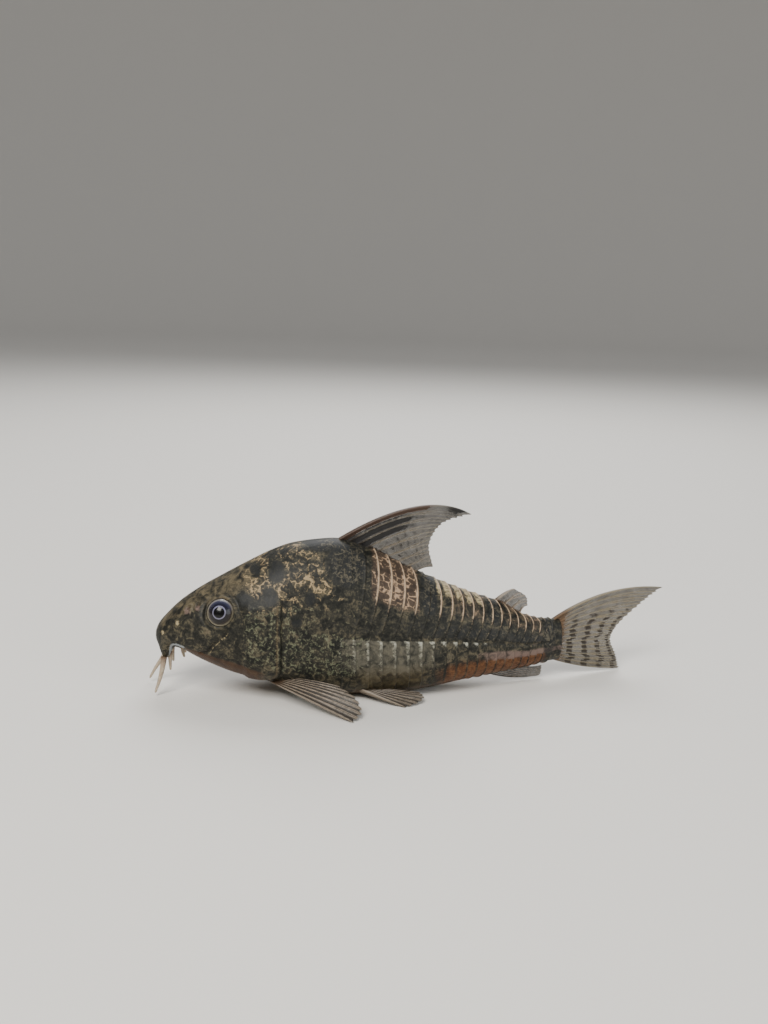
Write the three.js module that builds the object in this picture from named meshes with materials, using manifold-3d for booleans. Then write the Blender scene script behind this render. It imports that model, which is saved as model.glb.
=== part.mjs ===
// A peppered corydoras catfish (Corydoras paleatus), life size, resting on its belly and paired fins.
// Units are millimetres. +Z is up, the snout points along -X, and the fish's left flank faces -Y.
// The origin lies on the floor at the middle of the belly flat that the fish rests on.
import * as THREE from "three";
import { mergeVertices } from "three/addons/utils/BufferGeometryUtils.js";
import Module from "manifold-3d";

const wasm = await Module();
wasm.setup();

// Driving dimensions
const STANDARD_LENGTH = 56;
const REST_STATION = 30; // distance from the snout tip to the origin
const GAP = 0.3; // clearance between neighbouring pieces
const SIDES = [
  { name: "left", sign: -1 },
  { name: "right", sign: 1 },
];

// The tail half of the body swings towards +Y along an arc, and the tail fin runs on straight.
const BEND_LENGTH = 22;
const BEND_RADIUS = 82;

// Side view and top view of the body: [distance from the snout tip, value]
const TOP_HEIGHT = [
  [0, 8.1], [0.35, 9], [1.3, 10.2], [3.2, 12.1], [5.7, 13.9], [8.6, 15.6], [12, 17.5],
  [15.3, 19.2], [18, 20.2], [21, 20.7], [23.5, 20.9], [28, 19.7], [33.5, 17], [37.5, 15.2],
  [42, 13.4], [46, 11.9], [50, 9.8], [53.5, 8.8], [STANDARD_LENGTH, 8.6],
];
const BOTTOM_HEIGHT = [
  [0, 7.2], [0.35, 6.5], [1.3, 6.3], [2.6, 6.5], [3.6, 6.1], [4.6, 5.4], [5.8, 4.7], [7, 4.1],
  [10.5, 2.7], [15, 1.6], [19.5, 0.45], [22.5, -0.1], [26, -0.35], [32, -0.35], [36, 0.15],
  [41, 1], [46, 1.8], [50, 2.2], [53.5, 2.5], [STANDARD_LENGTH, 2.6],
];
const WIDEST_HEIGHT = [
  [0, 7.8], [2, 8], [6, 8.8], [10, 9.2], [16, 9], [25, 8.6], [35, 8], [45, 6.7], [50, 5.8],
  [STANDARD_LENGTH, 5.5],
];
const HALF_WIDTH = [
  [0, 0], [0.12, 1.15], [0.45, 2], [1.3, 2.9], [3, 3.9], [6, 5.1], [9, 6], [12, 6.7], [16, 7.2],
  [20, 7.1], [26, 6.7], [32, 6], [38, 4.9], [44, 3.7], [50, 2.4], [53.5, 1.7],
  [STANDARD_LENGTH, 1.35],
];
// Section exponents: 1 is an ellipse, above 1 is leaner like a roof, below 1 is boxier.
const TOP_FULLNESS = [
  [0, 0.95], [5, 0.95], [12, 1], [20, 1.12], [30, 1.2], [40, 1.1], [STANDARD_LENGTH, 1],
];
const BOTTOM_FULLNESS = [
  [0, 0.95], [5, 0.85], [12, 0.72], [20, 0.62], [34, 0.66], [44, 0.85], [STANDARD_LENGTH, 0.95],
];

// Head and shoulder
const GILL_STATION = 16.5; // rear edge of the gill cover at mid height
const GILL_SWEEP = 5.2; // how far the gill opening runs forward under the throat
const GILL_CREST_SWEEP = 0.6; // and over the nape
const GILL_COVER_FRONT = 11.6;
const GILL_COVER_LIFT = 0.28;
const EYE = {
  station: 8.9,
  height: 12.2,
  ball: 2.05,
  rim: 1.74, // radius of the ball where it meets the skin
  facing: [-0.16, 0.93, 0.33],
  lid: 2.14, // radius and wall of the rim of skin round the socket
  lidWall: 0.26,
};
// The two nostrils of each side: a short tube and the flatter opening behind it
const NOSTRILS = [
  { station: 4.7, turn: 0.235, wall: 0.2 },
  { station: 5.9, turn: 0.25, wall: 0.14 },
];
const NOSTRIL_RING = 0.4;
const NOSTRIL_PIT = 0.42;
const NOSTRIL_PIT_WIDTH = 0.7; // share of its depth
const MOUTH = {
  station: 2.75,
  height: 6.15,
  halfWidth: 1.65,
  halfLength: 1,
  lip: 0.42,
  cavity: 1.44,
  cavityDepth: 0.75, // share of its radius
  facing: [-0.25, 0, -1],
};
// The fleshy fold at each corner of the mouth that the barbels hang from
const LIP_FOLD = {
  points: [[1.5, 1.2, 7.2], [1.4, 1.6, 6.3], [1.4, 1.95, 5.4], [1.45, 2.1, 4.5]],
  root: 1.1,
  tip: 0.45,
};

// Two rows of bony scutes on each flank
const SCUTE_START = 17.9;
const SCUTE_COUNT = 24;
const SCUTE_PITCH_FIRST = 1.94;
const SCUTE_PITCH_LAST = 1.1;
const SCUTE_LIFT = 0.26;
const SCUTE_STEP = 0.14; // length of the step behind a scute's rear edge
const TAIL_SCUTE = 16; // the tail begins with this scute
const LATERAL_UPPER = 0.455; // the rows meet between these two shares of the half girth
const LATERAL_LOWER = 0.5;
const GROOVE_COVER = 0.15; // share of a scute's lift that is left in that groove
const NAPE_FADE = 0.85; // share of its lift that a scute loses over the nape
const ROW_STAGGER = 0.5; // share of a scute's length that the lower row lies ahead of the upper

// Fins
const MEMBRANE = 0.5;
const RAY = 0.78;
const SPINE = 1.15;
const FIN_EDGE = 0.3;

const COLOURS = {
  skin: 0x4a4338,
  flank: 0x5b5042,
  tail: 0x51483c,
  fin: 0x8d8573,
  dorsal: 0x6b5a4b,
  barbel: 0xb9a88c,
  eye: 0x2c2f45,
};
const SKIN_ROUGHNESS = 0.45;
const EYE_ROUGHNESS = 0.1;

const clamp = (x, low, high) => Math.min(high, Math.max(low, x));
const mix = (a, b, t) => a + (b - a) * t;
const ease = (x) => {
  const t = clamp(x, 0, 1);
  return t * t * (3 - 2 * t);
};

// A smooth curve through the table's points that never overshoots them.
function curveThrough(table) {
  const steps = table.slice(1).map(([x, y], i) => (y - table[i][1]) / (x - table[i][0]));
  const slopes = table.map((_, i) => {
    if (i === 0) return steps[0];
    if (i === steps.length) return steps[i - 1];
    const [a, b] = [steps[i - 1], steps[i]];
    return a * b <= 0 ? 0 : (2 * a * b) / (a + b);
  });
  return (x) => {
    let i = 0;
    while (i < table.length - 2 && x > table[i + 1][0]) i++;
    const [x0, y0] = table[i];
    const [x1, y1] = table[i + 1];
    const span = x1 - x0;
    const t = clamp((x - x0) / span, 0, 1);
    const u = 1 - t;
    return (
      y0 * u * u * (1 + 2 * t) + y1 * t * t * (1 + 2 * u) +
      span * t * u * (slopes[i] * u - slopes[i + 1] * t)
    );
  };
}

const topHeight = curveThrough(TOP_HEIGHT);
const bottomHeight = curveThrough(BOTTOM_HEIGHT);
const widestHeight = curveThrough(WIDEST_HEIGHT);
const halfWidth = curveThrough(HALF_WIDTH);
const topFullness = curveThrough(TOP_FULLNESS);
const bottomFullness = curveThrough(BOTTOM_FULLNESS);

// A point of the smooth body at a station. turn runs from 0 at the back to 1 at the belly.
function bodyPoint(station, turn, sign, lift = 0) {
  const angle = Math.PI * turn;
  const wide = widestHeight(station);
  const upper = turn < 0.5;
  const reach = upper ? topHeight(station) - wide : wide - bottomHeight(station);
  const fullness = upper ? topFullness(station) : bottomFullness(station);
  const across = Math.sin(angle);
  const along = Math.sign(Math.cos(angle)) * Math.abs(Math.cos(angle)) ** fullness;
  const width = halfWidth(station) * across + lift * across;
  const z = wide + reach * along + lift * along;
  return new THREE.Vector3(station - REST_STATION, sign * width, Math.max(0, z));
}

// The flat of the back that a fin's root sits on, as a height above the floor.
const backHeight = (station) => topHeight(station) + SCUTE_LIFT;

// Swings the tail half of the fish round the arc of its pose.
function bend(p) {
  const curved = clamp(p.x, 0, BEND_LENGTH);
  const straight = p.x - curved;
  const angle = curved / BEND_RADIUS;
  const radius = BEND_RADIUS - p.y;
  return new THREE.Vector3(
    radius * Math.sin(angle) + straight * Math.cos(angle),
    BEND_RADIUS - radius * Math.cos(angle) + straight * Math.sin(angle),
    p.z,
  );
}

// Solids
function solidFrom(vertices, triangles) {
  const geometry = new THREE.BufferGeometry().setFromPoints(vertices);
  geometry.setIndex(triangles);
  return solidOf(geometry);
}

function solidOf(geometry) {
  const bare = new THREE.BufferGeometry();
  bare.setAttribute("position", geometry.getAttribute("position"));
  if (geometry.index) bare.setIndex(geometry.index);
  const merged = mergeVertices(bare, 1e-4);
  const mesh = new wasm.Mesh({
    numProp: 3,
    vertProperties: new Float32Array(merged.attributes.position.array),
    triVerts: new Uint32Array(merged.index.array),
  });
  return new wasm.Manifold(mesh);
}

function largestPiece(solid) {
  const pieces = solid.decompose();
  return pieces.reduce((a, b) => (b.volume() > a.volume() ? b : a));
}

const joined = (solids) => solids.reduce((a, b) => a.add(b));

// Loops of points from end to end, each closed by a fan from its middle, or ending in a pole.
function loft(loops, firstMiddle, lastMiddle) {
  const count = loops[0].length;
  const vertices = [firstMiddle, ...loops.flat(), lastMiddle];
  const triangles = [];
  const at = (row, column) => 1 + row * count + ((column + count) % count);
  for (let c = 0; c < count; c++) {
    triangles.push(0, at(0, c + 1), at(0, c));
    for (let r = 0; r < loops.length - 1; r++) {
      triangles.push(at(r, c), at(r, c + 1), at(r + 1, c + 1));
      triangles.push(at(r, c), at(r + 1, c + 1), at(r + 1, c));
    }
    triangles.push(vertices.length - 1, at(loops.length - 1, c), at(loops.length - 1, c + 1));
  }
  return solidFrom(vertices, triangles);
}

// Shares of the half girth at which the body's lines run, with a pair along the lateral line
const GIRTH = [
  0, 0.055, 0.11, 0.165, 0.22, 0.275, 0.33, 0.39, LATERAL_UPPER, LATERAL_LOWER, 0.56, 0.62, 0.68,
  0.74, 0.79, 0.84, 0.89, 0.945, 1,
];
// One turn round the body: down the left flank and up the right.
const AROUND = [
  ...GIRTH.map((turn) => ({ turn, sign: -1 })),
  ...GIRTH.slice(1, -1).reverse().map((turn) => ({ turn, sign: 1 })),
];

// How far the gill opening runs ahead of its station, for a share of the half girth
const gillSweep = (turn) =>
  GILL_SWEEP * ease((turn - 0.62) / 0.34) + GILL_CREST_SWEEP * ease((0.25 - turn) / 0.25);

// The curve of a scute's rear edge: bulging backwards, and swept forward at its lower end
function scuteSweep(turn, pitch) {
  if (turn <= LATERAL_UPPER) {
    const t = turn / LATERAL_UPPER;
    return 0.55 * Math.sin(Math.PI * t) - 1.1 * t ** 3;
  }
  const t = (turn - LATERAL_LOWER) / (1 - LATERAL_LOWER);
  return 0.5 * Math.sin(Math.PI * t) - 0.7 * t - ROW_STAGGER * pitch;
}

// Scutes fade out along the lateral groove, on the naked belly and over the nape.
function scuteCover(station, turn) {
  if (turn >= LATERAL_UPPER && turn <= LATERAL_LOWER) return GROOVE_COVER;
  const belly = 1 - ease((turn - 0.72) / 0.1) * (1 - ease((station - 40) / 4));
  const crest = (1 - ease((turn - 0.02) / 0.16)) * (1 - ease((station - 24) / 6));
  return belly * (1 - NAPE_FADE * crest);
}

// The station of a body line at girth share turn, for a loop at distance along the body
function warpedStation(along, turn) {
  const sweep = gillSweep(turn);
  if (along <= GILL_STATION) return along - sweep * (along / GILL_STATION) ** 3;
  const pitch = mix(SCUTE_PITCH_FIRST, SCUTE_PITCH_LAST, (along - SCUTE_START) / 37);
  const scutes = ease((along - GILL_STATION) / 5) * ease((STANDARD_LENGTH - along) / 3);
  return (
    along - sweep * (1 - ease((along - GILL_STATION) / 9)) + scutes * scuteSweep(turn, pitch)
  );
}

const bodyLoop = (along, liftOf, grow = 0) =>
  AROUND.map(({ turn, sign }) => {
    const station = warpedStation(along, turn);
    return bodyPoint(station, turn, sign, grow + liftOf(station, turn));
  });

const middleOf = (loop) =>
  loop.reduce((sum, p) => sum.add(p), new THREE.Vector3()).multiplyScalar(1 / loop.length);

// The head's lift: the gill cover stands a little proud of the cheek.
function headLift(station, turn) {
  const cover = ease((station - GILL_COVER_FRONT) / 0.9) * ease((turn - 0.3) / 0.06);
  return GILL_COVER_LIFT * cover * (1 - ease((turn - 0.82) / 0.08));
}

const HEAD_STATIONS = [
  0.1, 0.35, 0.8, 1.4, 2.1, 2.9, 3.8, 4.8, 5.8, 6.8, 7.8, 8.8, 9.8, 10.8, 11.6, 12.2, 12.8, 13.8,
  14.8, 15.7, GILL_STATION,
];

function headShell() {
  const loops = HEAD_STATIONS.map((along) => bodyLoop(along, headLift));
  const tip = bodyPoint(0, 0.5, 1);
  return loft(loops, tip, middleOf(loops.at(-1)));
}

// Where each scute begins, from the shoulder to the tail's root
const SCUTE_EDGES = [SCUTE_START];
for (let i = 0; i < SCUTE_COUNT; i++) {
  const pitch = mix(SCUTE_PITCH_FIRST, SCUTE_PITCH_LAST, i / (SCUTE_COUNT - 1));
  SCUTE_EDGES.push(SCUTE_EDGES[i] + pitch);
}

// A scute rises from its front edge to its rear edge and then steps down to the next.
function scuteLoops(first, last) {
  const loops = [];
  for (let i = first; i < last; i++) {
    loops.push(bodyLoop(SCUTE_EDGES[i], () => 0));
    loops.push(
      bodyLoop(SCUTE_EDGES[i + 1] - SCUTE_STEP, (s, turn) => SCUTE_LIFT * scuteCover(s, turn)),
    );
  }
  return loops;
}

function torsoShell() {
  const shoulder = [GILL_STATION + GAP, GILL_STATION + 0.8].map((a) => bodyLoop(a, () => 0));
  const loops = [...shoulder, ...scuteLoops(0, TAIL_SCUTE)];
  return loft(loops, middleOf(loops[0]), middleOf(loops.at(-1)));
}

function tailShell() {
  const start = SCUTE_EDGES[TAIL_SCUTE] - SCUTE_STEP + GAP;
  const root = [SCUTE_EDGES[SCUTE_COUNT], STANDARD_LENGTH].map((a) => bodyLoop(a, () => 0));
  const loops = [
    bodyLoop(start, () => 0),
    ...scuteLoops(TAIL_SCUTE, SCUTE_COUNT).slice(1),
    ...root,
  ];
  return loft(loops, middleOf(loops[0]), middleOf(loops.at(-1)));
}

// The whole body grown by the gap, which trims each fin's root to the surface it grows from.
function bodyTrimmer() {
  const loops = [];
  for (let along = 0.4; along < STANDARD_LENGTH; along += 1.2) {
    loops.push(bodyLoop(along, () => SCUTE_LIFT, GAP));
  }
  loops.push(bodyLoop(STANDARD_LENGTH, () => 0, GAP).map((p) => p.setX(p.x + GAP)));
  const nose = new THREE.Vector3(-REST_STATION - GAP, 0, widestHeight(0));
  return loft(loops, nose, middleOf(loops.at(-1)));
}

// A fin fans from its root line to its outer edge. Each ray is a ridge on both faces, and runs
// from root to edge along a curve that passes near its knee. Shares run from the leading edge.
function finSolid({ root, knee, edge, rays, spine = SPINE, rows = 8 }) {
  const columns = rays * 2;
  const points = [];
  for (let r = 0; r <= rows; r++) {
    for (let c = 0; c <= columns; c++) {
      const share = c / columns;
      const out = r / rows;
      const path = new THREE.QuadraticBezierCurve3(root(share), knee(share), edge(share));
      points.push(path.getPoint(out));
    }
  }
  const at = (r, c) => r * (columns + 1) + c;
  const point = (r, c) => points[at(clamp(r, 0, rows), clamp(c, 0, columns))];
  const faces = [[], []];
  for (let r = 0; r <= rows; r++) {
    for (let c = 0; c <= columns; c++) {
      const outward = point(r + 1, c).clone().sub(point(r - 1, c));
      const across = point(r, c + 1).clone().sub(point(r, c - 1));
      const normal = outward.cross(across).normalize();
      const ridge = c === 0 ? spine : c % 2 ? MEMBRANE : RAY;
      const thickness = mix(ridge, FIN_EDGE, (r / rows) ** 2);
      normal.multiplyScalar(thickness / 2);
      faces[0].push(point(r, c).clone().add(normal));
      faces[1].push(point(r, c).clone().sub(normal));
    }
  }
  const vertices = faces.flat();
  const back = faces[0].length;
  const triangles = [];
  const quad = (a, b, c, d) => triangles.push(a, b, c, a, c, d);
  for (let r = 0; r < rows; r++) {
    for (let c = 0; c < columns; c++) {
      const [a, b, e, f] = [at(r, c), at(r, c + 1), at(r + 1, c + 1), at(r + 1, c)];
      triangles.push(a, f, e, a, e, b);
      triangles.push(back + a, back + e, back + f, back + a, back + b, back + e);
    }
    quad(at(r, 0), back + at(r, 0), back + at(r + 1, 0), at(r + 1, 0));
    const [end, next] = [at(r, columns), at(r + 1, columns)];
    quad(end, next, back + next, back + end);
  }
  for (let c = 0; c < columns; c++) {
    quad(at(0, c), at(0, c + 1), back + at(0, c + 1), back + at(0, c));
    quad(at(rows, c), back + at(rows, c), back + at(rows, c + 1), at(rows, c + 1));
  }
  const solid = solidFrom(vertices, triangles);
  return solid.volume() < 0 ? solidFrom(vertices, triangles.reverse()) : solid;
}

// A curve through hand-set points, read by a share from 0 to 1
function line(...points) {
  const curve = new THREE.CatmullRomCurve3(
    points.map(([station, y, z]) => new THREE.Vector3(station - REST_STATION, y, z)),
    false,
    "centripetal",
  );
  return (share) => curve.getPoint(share);
}

const mirrored = (curve, sign) => (share) => {
  const p = curve(share);
  return p.setY(p.y * sign);
};

// Dorsal fin: one stout spine and seven soft rays, half folded back
const dorsal = {
  root: line(
    [22.5, 0, backHeight(22.5) - 1.3],
    [28.3, 0, backHeight(28.3) - 1.2],
    [34, 0, backHeight(34) - 0.9],
  ),
  knee: line([34.8, 0, 28.2], [33, 0, 23.4], [33.9, 0, 19.4], [35.6, 0, 17.2]),
  edge: line([41.9, 0, 24.2], [37.9, 0, 22.9], [36.3, 0, 20.2], [36.9, 0, 17]),
  rays: 8,
  spine: 1.3,
};

// Adipose fin: a short spine and a stub of skin behind it
const adipose = {
  root: line([45.4, 0, backHeight(45.4) - 0.9], [49.6, 0, backHeight(49.6) - 0.8]),
  knee: line([47.2, 0, 13.2], [49.9, 0, 10.9]),
  edge: line([48.7, 0, 13.5], [50.7, 0, 12.2], [50.9, 0, 10.9]),
  rays: 2,
  spine: 0.85,
  rows: 5,
};

// Anal fin, swept back just above the floor
const anal = {
  root: line([43.6, 0, 2.3], [49, 0, 3]),
  knee: line([47, 0, 0.4], [51, 0, 1.5]),
  edge: line([52, 0, 0.35], [53.6, 0, 0.5], [53.8, 0, 1.9]),
  rays: 7,
  spine: 0.8,
  rows: 6,
};

// Caudal fin: two lobes joined at the fork
const caudal = {
  root: line([54.6, 0, 8.3], [54.9, 0, 5.5], [54.6, 0, 2.9]),
  knee: line([63, 0, 13.4], [61.5, 0, 5.7], [61, 0, 0.5]),
  edge: line(
    [73.4, 0.7, 11.8], [69.8, 0.5, 9.6], [65.8, 0.2, 6.6], [64.8, 0, 4.9], [65.9, 0, 2.4],
    [66.6, 0, 0.2],
  ),
  rays: 14,
  spine: 0.9,
  rows: 9,
};

// Pectoral fin: a stout spine that props the fish up, and the rays that fan behind it
const pectoral = {
  root: line([15.4, 4.9, 2.6], [16.8, 5.1, 3.4]),
  knee: line([20.2, 9.2, 1.8], [21.3, 8.4, 3.2], [20.6, 7.4, 4]),
  edge: line([25.8, 12.4, 0.15], [27, 11.2, 0.9], [26.4, 9.6, 2.1], [24.2, 8.2, 3.3]),
  rays: 9,
  spine: 1.25,
  rows: 7,
};

// Pelvic fin, spread on the floor beside the belly
const pelvic = {
  root: line([26.4, 4.2, 1.5], [28.6, 4, 1.4]),
  knee: line([29.4, 6.4, 1.1], [31, 5.8, 1.2], [31.8, 5, 1.4]),
  edge: line([32.6, 7.6, 0.15], [34.2, 7, 0.4], [35.2, 6, 0.8], [34.8, 5, 1.1]),
  rays: 6,
  spine: 0.8,
  rows: 6,
};

// A round feeler along a curve, thinning to its tip
function feeler(points, rootRadius, tipRadius) {
  const curve = line(...points);
  const rows = 9;
  const sides = 8;
  const loops = [];
  for (let r = 0; r <= rows; r++) {
    const share = r / rows;
    const ahead = curve(Math.min(1, share + 0.02)).sub(curve(Math.max(0, share - 0.02)));
    const turn = new THREE.Quaternion().setFromUnitVectors(
      new THREE.Vector3(0, 0, 1),
      ahead.normalize(),
    );
    const radius = mix(rootRadius, tipRadius, share ** 1.3);
    loops.push(
      Array.from({ length: sides }, (_, k) => {
        const angle = (2 * Math.PI * k) / sides;
        const rim = new THREE.Vector3(radius * Math.cos(angle), radius * Math.sin(angle), 0);
        return rim.applyQuaternion(turn).add(curve(share));
      }),
    );
  }
  return loft(loops, curve(0), curve(1));
}

// Three pairs of barbels: two at each corner of the mouth, and a short pair on the lower lip. The
// long barbel of the right side reaches forward.
const BARBELS = {
  upper_barbel_left: {
    points: [[1.3, 2.4, 5.2], [1.1, 2.7, 3.7], [0.75, 2.95, 2.2], [0.2, 3.2, 0.5]],
    root: 0.42,
  },
  upper_barbel_right: {
    points: [[1.3, 2.4, 5.2], [0.6, 2.6, 3.5], [-0.4, 2.3, 2], [-1.2, 1.8, 0.6]],
    root: 0.42,
  },
  lower_barbel: { points: [[1.95, 1.5, 5.6], [2, 1.55, 4.3], [2.05, 1.7, 3.1]], root: 0.34 },
  lip_barbel: { points: [[3.5, 0.7, 6.2], [3.6, 0.8, 5.3], [3.8, 0.9, 4.6]], root: 0.32 },
};
const BARBEL_TIP = 0.14;

// Eyes
const eyeSide = (sign) => {
  const widest = widestHeight(EYE.station);
  const reach = (EYE.height - widest) / (topHeight(EYE.station) - widest);
  const turn = Math.acos(reach ** (1 / topFullness(EYE.station))) / Math.PI;
  const surface = bodyPoint(EYE.station, turn, sign);
  const [ahead, side, up] = EYE.facing;
  const outward = new THREE.Vector3(ahead, sign * side, up).normalize();
  const depth = Math.sqrt(EYE.ball ** 2 - EYE.rim ** 2);
  return { surface, outward, centre: surface.clone().addScaledVector(outward, -depth) };
};

function placed(geometry, position, outward, stretch = [1, 1, 1]) {
  const turn = new THREE.Quaternion().setFromUnitVectors(new THREE.Vector3(0, 0, 1), outward);
  const matrix = new THREE.Matrix4().compose(position, turn, new THREE.Vector3(...stretch));
  return solidOf(geometry.clone().applyMatrix4(matrix));
}

const ball = (radius, wide, high) => new THREE.SphereGeometry(radius, wide, high);
const ring = (radius, wall, around) => new THREE.TorusGeometry(radius, wall, 6, around);

function eyeball(sign) {
  const { centre, outward } = eyeSide(sign);
  return placed(ball(EYE.ball, 18, 12), centre, outward);
}

// A place on the skin and the way it faces there
function skinAt({ station, turn }, sign) {
  const here = bodyPoint(station, turn, sign);
  const around = bodyPoint(station, turn + 0.05, sign).sub(here);
  const forward = bodyPoint(station - 0.4, turn, sign).sub(here);
  const outward = around.cross(forward).normalize();
  return { here, outward: outward.y * sign < 0 ? outward.negate() : outward };
}

function atMouth(geometry, depth = 1) {
  const place = new THREE.Vector3(MOUTH.station - REST_STATION, 0, MOUTH.height);
  const facing = new THREE.Vector3(...MOUTH.facing).normalize();
  return placed(geometry, place, facing, [MOUTH.halfLength / MOUTH.halfWidth, 1, depth]);
}

// The oval ring of the lips, which the barbels are trimmed with when it is grown
const lips = (grow) => atMouth(ring(MOUTH.halfWidth, MOUTH.lip + grow, 18));

function head() {
  let solid = headShell();
  for (const { sign } of SIDES) {
    const { surface, centre, outward } = eyeSide(sign);
    solid = solid.add(placed(ring(EYE.lid, EYE.lidWall, 20), surface, outward));
    solid = solid.subtract(placed(ball(EYE.ball + GAP, 18, 12), centre, outward));
    for (const nostril of NOSTRILS) {
      const { here, outward: up } = skinAt(nostril, sign);
      const narrow = [NOSTRIL_PIT_WIDTH, NOSTRIL_PIT_WIDTH, 1];
      solid = solid.add(placed(ring(NOSTRIL_RING, nostril.wall, 8), here, up));
      solid = solid.subtract(placed(ball(NOSTRIL_PIT, 8, 6), here, up, narrow));
    }
  }
  const cavity = atMouth(ball(MOUTH.cavity, 14, 8), MOUTH.cavityDepth);
  return joined([solid, lips(0), ...SIDES.map(({ sign }) => lipFold(sign, 0))]).subtract(cavity);
}

// Grown, it trims the barbels; its end then reaches further down, so that they clear it.
function lipFold(sign, grow) {
  const { points, root, tip } = LIP_FOLD;
  const side = points.map(([station, y, z]) => [station, y * sign, z]);
  const [station, y, z] = side.at(-1);
  return feeler([...side.slice(0, -1), [station, y, z - grow]], root + grow, tip + grow);
}

function barbel({ points, root }, sign, trim) {
  const side = points.map(([station, y, z]) => [station, y * sign, z]);
  return largestPiece(feeler(side, root, BARBEL_TIP).subtract(trim));
}

// Assembly
const group = new THREE.Group();

function addNode(name, solid, colour, roughness = SKIN_ROUGHNESS) {
  const { numProp, vertProperties, triVerts } = largestPiece(solid).getMesh();
  const points = [];
  for (let i = 0; i < vertProperties.length; i += numProp) {
    points.push(bend(new THREE.Vector3(...vertProperties.subarray(i, i + 3))));
  }
  const geometry = new THREE.BufferGeometry().setFromPoints(points);
  geometry.setIndex([...triVerts]);
  geometry.computeVertexNormals();
  const material = new THREE.MeshStandardMaterial({ color: colour, roughness, metalness: 0 });
  const mesh = new THREE.Mesh(geometry, material);
  mesh.name = name;
  group.add(mesh);
}

const trimmer = bodyTrimmer();
const folds = SIDES.map(({ sign }) => lipFold(sign, GAP));
const mouthTrimmer = joined([trimmer, lips(GAP), ...folds]);
const trimmed = (fin) => finSolid(fin).subtract(trimmer);

addNode("head", head(), COLOURS.skin);
addNode("torso", torsoShell(), COLOURS.flank);
addNode("tail", tailShell(), COLOURS.tail);
addNode("dorsal_fin", trimmed(dorsal), COLOURS.dorsal);
addNode("adipose_fin", trimmed(adipose), COLOURS.fin);
addNode("anal_fin", trimmed(anal), COLOURS.fin);
addNode("caudal_fin", trimmed(caudal), COLOURS.fin);
for (const { name, sign } of SIDES) {
  for (const [fin, shape] of Object.entries({ pectoral_fin: pectoral, pelvic_fin: pelvic })) {
    const { root, knee, edge } = shape;
    const side = {
      ...shape,
      root: mirrored(root, sign),
      knee: mirrored(knee, sign),
      edge: mirrored(edge, sign),
    };
    addNode(`${fin}_${name}`, trimmed(side), COLOURS.fin);
  }
  addNode(`eye_${name}`, eyeball(sign), COLOURS.eye, EYE_ROUGHNESS);
  for (const pair of ["upper_barbel", "lower_barbel", "lip_barbel"]) {
    const shape = BARBELS[pair] ?? BARBELS[`${pair}_${name}`];
    addNode(`${pair}_${name}`, barbel(shape, sign, mouthTrimmer), COLOURS.barbel);
  }
}

export default group;
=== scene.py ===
import math

import bpy
import numpy as np
from mathutils import Matrix, Vector


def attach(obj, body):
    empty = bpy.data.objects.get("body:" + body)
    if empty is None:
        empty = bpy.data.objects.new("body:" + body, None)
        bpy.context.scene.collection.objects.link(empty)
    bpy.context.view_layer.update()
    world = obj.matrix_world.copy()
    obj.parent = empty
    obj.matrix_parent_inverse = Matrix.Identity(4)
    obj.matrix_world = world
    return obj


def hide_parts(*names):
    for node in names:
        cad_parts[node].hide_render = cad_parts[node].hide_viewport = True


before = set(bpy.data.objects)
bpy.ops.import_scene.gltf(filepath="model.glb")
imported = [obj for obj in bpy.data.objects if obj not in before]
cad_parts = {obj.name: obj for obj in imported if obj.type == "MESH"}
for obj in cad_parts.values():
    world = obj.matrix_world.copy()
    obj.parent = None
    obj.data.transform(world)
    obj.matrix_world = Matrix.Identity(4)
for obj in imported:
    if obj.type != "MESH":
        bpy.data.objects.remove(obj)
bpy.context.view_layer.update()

MM = 0.001
STANDARD_LENGTH = 56.0
REST_STATION = 30.0
BEND_LENGTH = 22.0
BEND_RADIUS = 82.0

TOP_HEIGHT = [
    (0, 8.1), (0.35, 9), (1.3, 10.2), (3.2, 12.1), (5.7, 13.9), (8.6, 15.6), (12, 17.5),
    (15.3, 19.2), (18, 20.2), (21, 20.7), (23.5, 20.9), (28, 19.7), (33.5, 17), (37.5, 15.2),
    (42, 13.4), (46, 11.9), (50, 9.8), (53.5, 8.8), (STANDARD_LENGTH, 8.6),
]
BOTTOM_HEIGHT = [
    (0, 7.2), (0.35, 6.5), (1.3, 6.3), (2.6, 6.5), (3.6, 6.1), (4.6, 5.4), (5.8, 4.7), (7, 4.1),
    (10.5, 2.7), (15, 1.6), (19.5, 0.45), (22.5, -0.1), (26, -0.35), (32, -0.35), (36, 0.15),
    (41, 1), (46, 1.8), (50, 2.2), (53.5, 2.5), (STANDARD_LENGTH, 2.6),
]
WIDEST_HEIGHT = [
    (0, 7.8), (2, 8), (6, 8.8), (10, 9.2), (16, 9), (25, 8.6), (35, 8), (45, 6.7), (50, 5.8),
    (STANDARD_LENGTH, 5.5),
]
HALF_WIDTH = [
    (0, 0), (0.12, 1.15), (0.45, 2), (1.3, 2.9), (3, 3.9), (6, 5.1), (9, 6), (12, 6.7), (16, 7.2),
    (20, 7.1), (26, 6.7), (32, 6), (38, 4.9), (44, 3.7), (50, 2.4), (53.5, 1.7),
    (STANDARD_LENGTH, 1.35),
]
TOP_FULLNESS = [
    (0, 0.95), (5, 0.95), (12, 1), (20, 1.12), (30, 1.2), (40, 1.1), (STANDARD_LENGTH, 1),
]
BOTTOM_FULLNESS = [
    (0, 0.95), (5, 0.85), (12, 0.72), (20, 0.62), (34, 0.66), (44, 0.85), (STANDARD_LENGTH, 0.95),
]

GILL_STATION = 16.5
GILL_SWEEP = 5.2
GILL_CREST_SWEEP = 0.6
SCUTE_START = 17.9
SCUTE_COUNT = 24
SCUTE_PITCH_FIRST = 1.94
SCUTE_PITCH_LAST = 1.1
SCUTE_LIFT = 0.26
LATERAL_UPPER = 0.455
LATERAL_LOWER = 0.5
ROW_STAGGER = 0.5

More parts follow.
